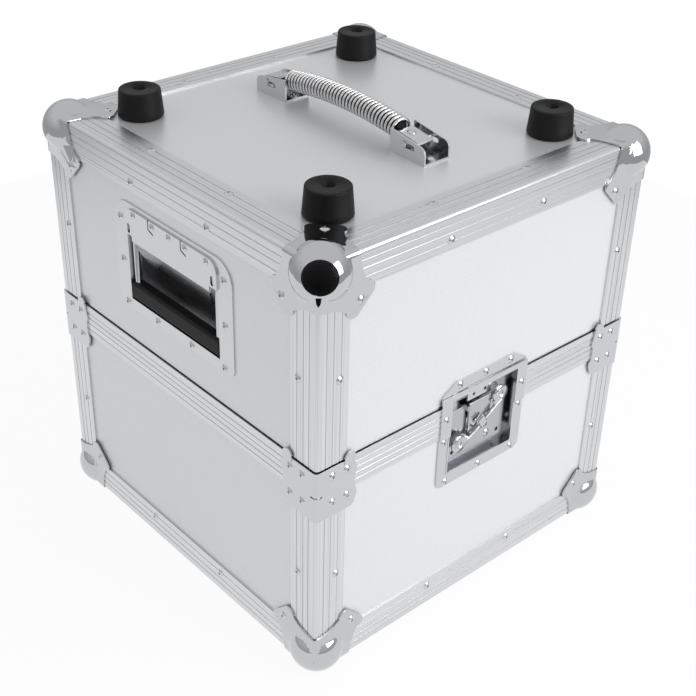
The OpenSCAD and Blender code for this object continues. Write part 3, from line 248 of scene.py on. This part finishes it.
def stand_in(node, piece_name, mesh):
    """Shows a mesh in a CAD node's place, riding on the node's body."""
    piece = bpy.data.objects.new(piece_name, mesh)
    bpy.context.scene.collection.objects.link(piece)
    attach(piece, body_holding(node))
    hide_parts(node)


def smooth_copy(node, piece_name, material):
    """A welded copy of a CAD node with round faces smooth and flat faces flat, in the node's place."""
    mesh = nodes[node].data.copy()
    shape = bmesh.new()
    shape.from_mesh(mesh)
    bmesh.ops.remove_doubles(shape, verts=shape.verts, dist=WELD)
    shape.to_mesh(mesh)
    shape.free()
    if mesh.has_custom_normals:
        mesh.normals_split_custom_set_from_vertices([(0, 0, 0)] * len(mesh.vertices))
    mesh.polygons.foreach_set("use_smooth", [True] * len(mesh.polygons))
    mesh.set_sharp_from_angle(angle=SMOOTH_ANGLE)
    mesh.materials.clear()
    mesh.materials.append(material)
    seed = bpy.data.objects.new(f"{piece_name}_seed", mesh)
    bpy.context.scene.collection.objects.link(seed)
    seed.modifiers.new("flat_faces", "WEIGHTED_NORMAL").keep_sharp = True
    stand_in(node, piece_name, evaluated_mesh(seed))


ball_nickel = plated_steel("bright_nickel_ball", BALL_NICKEL, roughness=0.05, wave_mm=30, wave_strength=0.02)
sheet_nickel = plated_steel("bright_nickel_sheet", SHEET_NICKEL, roughness=0.16,
                            wave_mm=18, wave_strength=0.12)
dish_nickel = plated_steel("bright_nickel_dish", DISH_NICKEL, roughness=0.3, wave_mm=18, wave_strength=0.12)
smooth_copy("body_ball_corners", "body_corner_caps", ball_nickel)
smooth_copy("lid_ball_corners", "lid_corner_caps", ball_nickel)
finish_node("seam_brackets", sheet_nickel)


# ---- Rivets ----
# Steel blind rivets: a low dome with the snapped mandrel's hole in its middle over a 4 mm shank, bright
# nickel plated. One is turned as a lathe would and set at each place the CAD rivets mark.
HEAD_RADIUS = 3.8 * MM
HEAD_HEIGHT = 1.7 * MM
HOLE_RADIUS = 1.1 * MM
HOLE_EDGE = 0.2 * MM
HOLE_FLOOR_SIDE = 0.3 * MM
HOLE_FLOOR_MIDDLE = 0.2 * MM
SHANK_RADIUS = 2.0 * MM
DOME_STEPS = 9
TURNED_SIDES = 32
FLUSH_HEAD_SHARE = 0.9
CASE_MIDDLE = 0.2
RIVET_NICKEL = "#CDCDD0"
rivet_nickel = plated_steel("bright_nickel_rivet", RIVET_NICKEL, roughness=0.16,
                            wave_mm=3, wave_strength=0.03)


def turned(name, profile):
    """A hidden solid of revolution about Z from (radius, height) points that start and end on the axis."""
    shape = bmesh.new()
    rings = []
    for radius, height in profile:
        angles = [2 * math.pi * i / TURNED_SIDES for i in range(TURNED_SIDES if radius else 1)]
        rings.append([shape.verts.new((radius * math.cos(a), radius * math.sin(a), height)) for a in angles])
    for low, high in zip(rings, rings[1:]):
        for i in range(TURNED_SIDES):
            j = (i + 1) % TURNED_SIDES
            corners = [low[i % len(low)], low[j % len(low)], high[j % len(high)], high[i % len(high)]]
            shape.faces.new(dict.fromkeys(corners))
    mesh = bpy.data.meshes.new(name)
    shape.to_mesh(mesh)
    shape.free()
    mesh.polygons.foreach_set("use_smooth", [True] * len(mesh.polygons))
    mesh.set_sharp_from_angle(angle=SMOOTH_ANGLE)
    return bpy.data.objects.new(name, mesh)


dome_radius = (HEAD_RADIUS ** 2 + HEAD_HEIGHT ** 2) / (2 * HEAD_HEIGHT)
dome_reach = [HEAD_RADIUS + (HOLE_RADIUS + HOLE_EDGE - HEAD_RADIUS) * i / DOME_STEPS
              for i in range(1, DOME_STEPS + 1)]
dome = [(r, HEAD_HEIGHT - dome_radius + math.sqrt(dome_radius ** 2 - r ** 2)) for r in dome_reach]
crest = dome[-1][1]
rivet_head = turned("rivet_head", [(0, 0), (HEAD_RADIUS, 0)] + dome + [
    (HOLE_RADIUS + HOLE_EDGE / 4, crest - HOLE_EDGE / 10), (HOLE_RADIUS, crest - HOLE_EDGE * 3 / 4),
    (HOLE_RADIUS, HOLE_FLOOR_SIDE), (0, HOLE_FLOOR_MIDDLE)])
rivet_shank = turned("rivet_shank", [(0, -1), (SHANK_RADIUS, -1), (SHANK_RADIUS, 0), (0, 0)])


def rivet_tree():
    """A geometry node tree that sets a rivet on each point, along its way and as long as its grip."""
    tree = bpy.data.node_groups.new("set_rivets", "GeometryNodeTree")
    for name, kind in (("Geometry", "NodeSocketGeometry"), ("Head", "NodeSocketObject"),
                       ("Shank", "NodeSocketObject"), ("Plate", "NodeSocketMaterial")):
        tree.interface.new_socket(name, in_out="INPUT", socket_type=kind)
    tree.interface.new_socket("Geometry", in_out="OUTPUT", socket_type="NodeSocketGeometry")
    given = add(tree, "NodeGroupInput").outputs
    way = add(tree, "GeometryNodeInputNamedAttribute", inputs={"Name": "way"}, data_type="FLOAT_VECTOR")
    turn = add(tree, "FunctionNodeAlignRotationToVector", {"Vector": way.outputs["Attribute"]}, axis="Z")
    sets = add(tree, "GeometryNodeJoinGeometry")
    for part in ("Head", "Shank"):
        model = add(tree, "GeometryNodeObjectInfo", {"Object": given[part]})
        size = add(tree, "GeometryNodeInputNamedAttribute", inputs={"Name": part.lower()},
                   data_type="FLOAT_VECTOR")
        placed = add(tree, "GeometryNodeInstanceOnPoints",
                     {"Points": given["Geometry"], "Instance": model.outputs["Geometry"],
                      "Rotation": turn.outputs["Rotation"], "Scale": size.outputs["Attribute"]})
        tree.links.new(placed.outputs["Instances"], sets.inputs["Geometry"])
    real = add(tree, "GeometryNodeRealizeInstances", {"Geometry": sets.outputs["Geometry"]})
    painted = add(tree, "GeometryNodeSetMaterial", {"Geometry": real.outputs["Geometry"],
                                                    "Material": given["Plate"]})
    add(tree, "NodeGroupOutput", {"Geometry": painted.outputs["Geometry"]})
    return tree


def grown(piece_name, tree, mesh=None, **values):
    """The plain mesh that a geometry node tree grows from a mesh and the given inputs."""
    seed = bpy.data.objects.new(f"{piece_name}_seed", mesh or bpy.data.meshes.new(piece_name))
    bpy.context.scene.collection.objects.link(seed)
    modifier = seed.modifiers.new("grow", "NODES")
    modifier.node_group = tree
    for item in tree.interface.items_tree:
        if item.in_out == "INPUT" and item.name in values:
            modifier[item.identifier] = values[item.name]
    return evaluated_mesh(seed)


def separate_boxes(node):
    """The low and high corner of each separate solid in a CAD node, in the same order on every run."""
    shape = bmesh.new()
    shape.from_mesh(nodes[node].data)
    bmesh.ops.remove_doubles(shape, verts=shape.verts, dist=WELD)
    left = set(shape.verts)
    boxes = []
    while left:
        part, edge = [], [left.pop()]
        while edge:
            vert = edge.pop()
            part.append(vert.co.copy())
            near = [e.other_vert(vert) for e in vert.link_edges]
            near = [v for v in near if v in left]
            left.difference_update(near)
            edge.extend(near)
        boxes.append([Vector(f(p[i] for p in part) for i in range(3)) for f in (min, max)])
    shape.free()
    return sorted(boxes, key=lambda box: (*box[0], *box[1]))


def set_rivets(node):
    """Rivets in place of a CAD node's, each on its own seat and scaled to that rivet's girth and length."""
    seats = []
    for low, high in separate_boxes(node):
        size = high - low
        width = sorted(size)[1]
        axis = max(range(3), key=lambda i: abs(size[i] - width))
        height = HEAD_HEIGHT if size[axis] > width else size[axis] * FLUSH_HEAD_SHARE
        middle = (low + high) / 2
        sign = 1 if middle[axis] > (CASE_MIDDLE if axis == AXES["Z"] else 0) else -1
        seat = middle.copy()
        seat[axis] += sign * (size[axis] / 2 - height)
        girth = width / (2 * HEAD_RADIUS)
        seats.append((seat, Vector((sign if i == axis else 0 for i in range(3))),
                      (girth, girth, height / HEAD_HEIGHT), (girth, girth, size[axis] - height)))
    mesh = bpy.data.meshes.new(f"{node}_seats")
    mesh.from_pydata([seat[0] for seat in seats], [], [])
    for column, name in ((1, "way"), (2, "head"), (3, "shank")):
        values = mesh.attributes.new(name, "FLOAT_VECTOR", "POINT")
        values.data.foreach_set("vector", [v for seat in seats for v in seat[column]])
    made = grown(f"{node}_set", rivet_setter, mesh, Head=rivet_head, Shank=rivet_shank, Plate=rivet_nickel)
    stand_in(node, f"{node}_set", made)


rivet_setter = rivet_tree()
for node in ("body_rivets", "lid_rivets", "latch_dish_rivets", "latch_strike_rivets", "hinge_body_rivets",
             "hinge_lid_rivets", "handle_dish_rivets", "top_handle_bracket_rivets"):
    set_rivets(node)


# ---- Turn latch ----
# A dish of pressed, nickel plated steel with a strike above it. The mechanism plate and the hook are zinc
# plated, and the spindle, its wing and the wing's pin are polished.
ZINC = "#B9BABD"
zinc_plate = plated_steel("bright_zinc_plate", ZINC, roughness=0.2, wave_mm=9, wave_strength=0.15)
for node in ("latch_dish", "latch_strike"):
    finish_node(node, sheet_nickel)
for node in ("latch_base_plate", "latch_hook"):
    finish_node(node, zinc_plate)
for node in ("latch_spindle", "latch_wing", "latch_wing_pin"):
    smooth_copy(node, f"{node}_plated", ball_nickel)


# ---- Hinges ----
# Butt hinges of folded steel, zinc plated, with rolled knuckles round a steel pin.
for node in ("hinge_body_leaves", "hinge_lid_leaves", "hinge_pins"):
    smooth_copy(node, f"{node}_plated", zinc_plate)


# ---- Flip handles ----
# A pressed dish with a soft plate and a riveted, brighter hood, and a bent steel rod that carries a moulded
# rubber grip. The rubber is black, close to matt, with a soft sheen.
RUBBER = "#0A0A0B"
RUBBER_GRAIN_MM = 0.35
moulded_rubber, tree, shader = new_material("moulded_black_rubber", Base_Color=srgb(RUBBER), Roughness=0.55,
                                            Specular_IOR_Level=0.25)
relief(tree, shader, grains(tree, (RUBBER_GRAIN_MM,) * 3), strength=0.12, depth_mm=0.05)
for side in ("left", "right"):
    finish_node(f"{side}_handle_dish", dish_nickel)
    finish_node(f"{side}_handle_hood", sheet_nickel)
    smooth_copy(f"{side}_handle_bail", f"{side}_bail_rod", ball_nickel)
    smooth_copy(f"{side}_handle_grip", f"{side}_rubber_grip", moulded_rubber)


# ---- Top handle ----
# A rubber strap in a sleeve of close wound spring steel wire, held in folded steel end fittings whose
# pins slide in the slots of two riveted brackets.
ARCH_DROP = 5.5 * MM
COIL_HALF = 69.5 * MM
COIL_TURNS = 35
WIRE_RADIUS = 1.3 * MM
RINGS_PER_TURN = 20
WIRE_SIDES = 10
SPRING_STEEL = "#DADADB"

for node in ("top_handle_brackets", "top_handle_end_fittings"):
    finish_node(node, sheet_nickel)
smooth_copy("top_handle_pins", "top_handle_pins_plated", sheet_nickel)
smooth_copy("top_handle_core", "top_handle_strap", moulded_rubber)
smooth_copy("top_handle_fitting_rivets", "top_handle_fitting_rivets_plated", rivet_nickel)
spring_steel = plated_steel("bright_spring_wire", SPRING_STEEL, roughness=0.14, wave_mm=6, wave_strength=0.03)


def coil_tree():
    """A geometry node tree that winds a wire round an arch in the YZ plane."""
    tree = bpy.data.node_groups.new("wound_sleeve", "GeometryNodeTree")
    for name, kind in (("Arch Radius", "NodeSocketFloat"), ("Half Angle", "NodeSocketFloat"),
                       ("Turns", "NodeSocketFloat"), ("Winding Radius", "NodeSocketFloat"),
                       ("Wire Radius", "NodeSocketFloat"), ("Crown", "NodeSocketVector"),
                       ("Wire", "NodeSocketMaterial")):
        tree.interface.new_socket(name, in_out="INPUT", socket_type=kind)
    tree.interface.new_socket("Geometry", in_out="OUTPUT", socket_type="NodeSocketGeometry")
    given = add(tree, "NodeGroupInput").outputs
    line = add(tree, "GeometryNodeCurvePrimitiveLine")
    rings = add(tree, "GeometryNodeResampleCurve", {"Curve": line.outputs["Curve"]},
                {"Count": COIL_TURNS * RINGS_PER_TURN + 1})
    part = add(tree, "GeometryNodeSplineParameter").outputs["Factor"]
    arch = calc(tree, "MULTIPLY", calc(tree, "MULTIPLY_ADD", part, 2, -1), given["Half Angle"])
    turn = calc(tree, "MULTIPLY", calc(tree, "MULTIPLY", part, given["Turns"]), 2 * math.pi)
    across = calc(tree, "MULTIPLY", calc(tree, "COSINE", turn), given["Winding Radius"])
    out = calc(tree, "MULTIPLY_ADD", calc(tree, "SINE", turn), given["Winding Radius"], given["Arch Radius"])
    along = calc(tree, "MULTIPLY", out, calc(tree, "SINE", arch))
    level = calc(tree, "MULTIPLY", out, calc(tree, "COSINE", arch))
    high = calc(tree, "SUBTRACT", level, given["Arch Radius"])
    spot = add(tree, "ShaderNodeCombineXYZ", {"X": across, "Y": along, "Z": high})
    wound = add(tree, "GeometryNodeSetPosition",
                {"Geometry": rings.outputs["Curve"], "Position": spot.outputs[0], "Offset": given["Crown"]})
    section = add(tree, "GeometryNodeCurvePrimitiveCircle", {"Radius": given["Wire Radius"]},
                  {"Resolution": WIRE_SIDES})
    ends = {"Curve": wound.outputs["Geometry"], "Profile Curve": section.outputs["Curve"]}
    wire = add(tree, "GeometryNodeCurveToMesh", ends, {"Fill Caps": True})
    smooth = add(tree, "GeometryNodeSetShadeSmooth", {"Geometry": wire.outputs["Mesh"]})
    real = add(tree, "GeometryNodeRealizeInstances", {"Geometry": smooth.outputs["Geometry"]})
    painted = add(tree, "GeometryNodeSetMaterial", {"Geometry": real.outputs["Geometry"],
                                                    "Material": given["Wire"]})
    add(tree, "NodeGroupOutput", {"Geometry": painted.outputs["Geometry"]})
    return tree


coil_low, coil_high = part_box("top_handle_coil")
winding = (coil_high.x - coil_low.x) / 2 - WIRE_RADIUS
arch_radius = (COIL_HALF ** 2 + ARCH_DROP ** 2) / (2 * ARCH_DROP)
crown = (coil_low + coil_high) / 2
crown.z = coil_high.z - winding - WIRE_RADIUS
sleeve = grown("top_handle_sleeve", coil_tree(), **{
    "Arch Radius": arch_radius, "Half Angle": math.asin(COIL_HALF / arch_radius), "Turns": float(COIL_TURNS),
    "Winding Radius": winding, "Wire Radius": WIRE_RADIUS, "Crown": crown, "Wire": spring_steel})
stand_in("top_handle_coil", "top_handle_sleeve", sleeve)


# ---- Feet ----
# Moulded rubber buffers that taper towards their tips, each with a deep bore for its zinc plated screw.
smooth_copy("rubber_feet", "rubber_buffers", moulded_rubber)
smooth_copy("foot_screws", "buffer_screws", zinc_plate)


# ---- Floor, light and camera ----
# A white paper floor that keeps a soft shadow, in a pale room that the metal mirrors brighter overhead. A
# round black hood stands close to the near corner, as that ball's mirror image in the photograph shows; only
# reflections see it.
FLOOR_SIDE = 1.7
FLOOR_WHITE = "#F4F4F4"
FLOOR_GLOW = 0.93
WHITE = "#FFFFFF"
FILL_LIGHT = 0.66
ROOM_HEIGHTS = (-0.05, 0.55)
ROOM_STRENGTHS = (0.5, 0.8)
LAMP_PLACE = Vector((0.45, -1.35, 0.85))
LAMP_AIM = Vector((0, 0, 0.2))
LAMP_SIDE = 1.0
LAMP_WATTS = 13.5
CAMERA_AZIMUTH = math.radians(-42.074)
CAMERA_ELEVATION = math.radians(32.194)
CAMERA_ROLL = math.radians(1.476)
CAMERA_PLACE = Vector((-0.6692, -0.7536, 0.8029))
LENS = 66.07
SENSOR_WIDTH = 36
CLIPPING = (0.01, 50)
NEAR_BALL = Vector((-0.1655, -0.1655, 0.3775))
HOOD_ELEVATION = math.radians(-6)
HOOD_DISTANCE = 29 * MM
HOOD_RADIUS = 48 * MM
HOOD_RAISE = 30 * MM
HOOD_SIDES = 48
HOOD_BLACK = "#0B0B0C"


def towards(azimuth, elevation):
    """The direction at an azimuth from the front and an elevation."""
    level = math.cos(elevation)
    return Vector((math.sin(azimuth) * level, -math.cos(azimuth) * level, math.sin(elevation)))


def reflected(tree, path):
    """1 for a ray that comes from a mirror or through glass, else 0."""
    return calc(tree, "MAXIMUM", path.outputs["Is Glossy Ray"], path.outputs["Is Transmission Ray"])


floor_mesh = bpy.data.meshes.new("floor")
half = FLOOR_SIDE / 2
floor_mesh.from_pydata([(-half, -half, 0), (half, -half, 0), (half, half, 0), (-half, half, 0)],
                       [], [(0, 1, 2, 3)])
floor = bpy.data.objects.new("floor", floor_mesh)
bpy.context.scene.collection.objects.link(floor)
paper = bpy.data.materials.new("white_paper")
tree = cleared_tree(paper)
path = add(tree, "ShaderNodeLightPath")
seen = calc(tree, "MAXIMUM", path.outputs["Is Camera Ray"], reflected(tree, path))
matt = add(tree, "ShaderNodeBsdfDiffuse", inputs={"Color": srgb(FLOOR_WHITE)})
glow = add(tree, "ShaderNodeEmission", inputs={"Strength": 1.0})
share = calc(tree, "MULTIPLY", seen, FLOOR_GLOW)
paint = add(tree, "ShaderNodeMixShader", {0: share, 1: matt.outputs[0], 2: glow.outputs[0]})
add(tree, "ShaderNodeOutputMaterial", {"Surface": paint.outputs[0]})
floor_mesh.materials.append(paper)

world = bpy.data.worlds.new("studio")
bpy.context.scene.world = world
tree = cleared_tree(world)
path = add(tree, "ShaderNodeLightPath")
point = add(tree, "ShaderNodeTexCoord").outputs["Generated"]
height = add(tree, "ShaderNodeSeparateXYZ", {"Vector": point}).outputs["Z"]
room = add(tree, "ShaderNodeMapRange", {"Value": height},
           {"From Min": ROOM_HEIGHTS[0], "From Max": ROOM_HEIGHTS[1],
            "To Min": ROOM_STRENGTHS[0], "To Max": ROOM_STRENGTHS[1]}).outputs["Result"]
plain = add(tree, "ShaderNodeBackground", inputs={"Color": srgb(WHITE), "Strength": FILL_LIGHT})
mirror = add(tree, "ShaderNodeBackground", {"Strength": room}, {"Color": srgb(WHITE)})
white = add(tree, "ShaderNodeBackground", inputs={"Color": srgb(WHITE), "Strength": 1.0})
lit = add(tree, "ShaderNodeMixShader",
          {0: reflected(tree, path), 1: plain.outputs[0], 2: mirror.outputs[0]})
shown = add(tree, "ShaderNodeMixShader",
            {0: path.outputs["Is Camera Ray"], 1: lit.outputs[0], 2: white.outputs[0]})
add(tree, "ShaderNodeOutputWorld", {"Surface": shown.outputs[0]})

hood_way = towards(CAMERA_AZIMUTH, HOOD_ELEVATION)
hood_turns = [2 * math.pi * i / HOOD_SIDES for i in range(HOOD_SIDES)]
hood_mesh = bpy.data.meshes.new("camera_hood")
hood_mesh.from_pydata([(HOOD_RADIUS * math.cos(a), HOOD_RAISE + HOOD_RADIUS * math.sin(a), 0)
                       for a in hood_turns], [], [tuple(range(HOOD_SIDES))])
hood_mesh.transform(Matrix.Translation(NEAR_BALL + hood_way * HOOD_DISTANCE)
                    @ hood_way.to_track_quat("Z", "Y").to_matrix().to_4x4())
hood = bpy.data.objects.new("camera_hood", hood_mesh)
bpy.context.scene.collection.objects.link(hood)
hood.visible_camera = hood.visible_diffuse = hood.visible_shadow = hood.visible_transmission = False
cloth, tree, shader = new_material("black_cloth", Base_Color=srgb(HOOD_BLACK), Roughness=0.9)
relief(tree, shader, grains(tree, (1, 1, 1)), strength=0.2, depth_mm=0.2)
hood_mesh.materials.append(cloth)

lamp = bpy.data.lights.new("front_right_soft_box", "AREA")
lamp.shape = "SQUARE"
lamp.size = LAMP_SIDE
lamp.energy = LAMP_WATTS
soft_box = bpy.data.objects.new("front_right_soft_box", lamp)
soft_box.location = LAMP_PLACE
soft_box.rotation_mode = "QUATERNION"
soft_box.rotation_quaternion = (LAMP_AIM - LAMP_PLACE).to_track_quat("-Z", "Y")
bpy.context.scene.collection.objects.link(soft_box)

camera_data = bpy.data.cameras.new("camera")
camera_data.lens = LENS
camera_data.sensor_width = SENSOR_WIDTH
camera_data.clip_start, camera_data.clip_end = CLIPPING
camera = bpy.data.objects.new("camera", camera_data)
bpy.context.scene.collection.objects.link(camera)
back = towards(CAMERA_AZIMUTH, CAMERA_ELEVATION)
right = (-back).cross(Vector((0, 0, 1))).normalized()
up = right.cross(-back)
across = right * math.cos(CAMERA_ROLL) + up * math.sin(CAMERA_ROLL)
upwards = -right * math.sin(CAMERA_ROLL) + up * math.cos(CAMERA_ROLL)
turn = Matrix((across, upwards, back)).transposed().to_4x4()
camera.matrix_world = Matrix.Translation(CAMERA_PLACE) @ turn
bpy.context.scene.camera = camera
bpy.context.scene.view_settings.view_transform = "Standard"
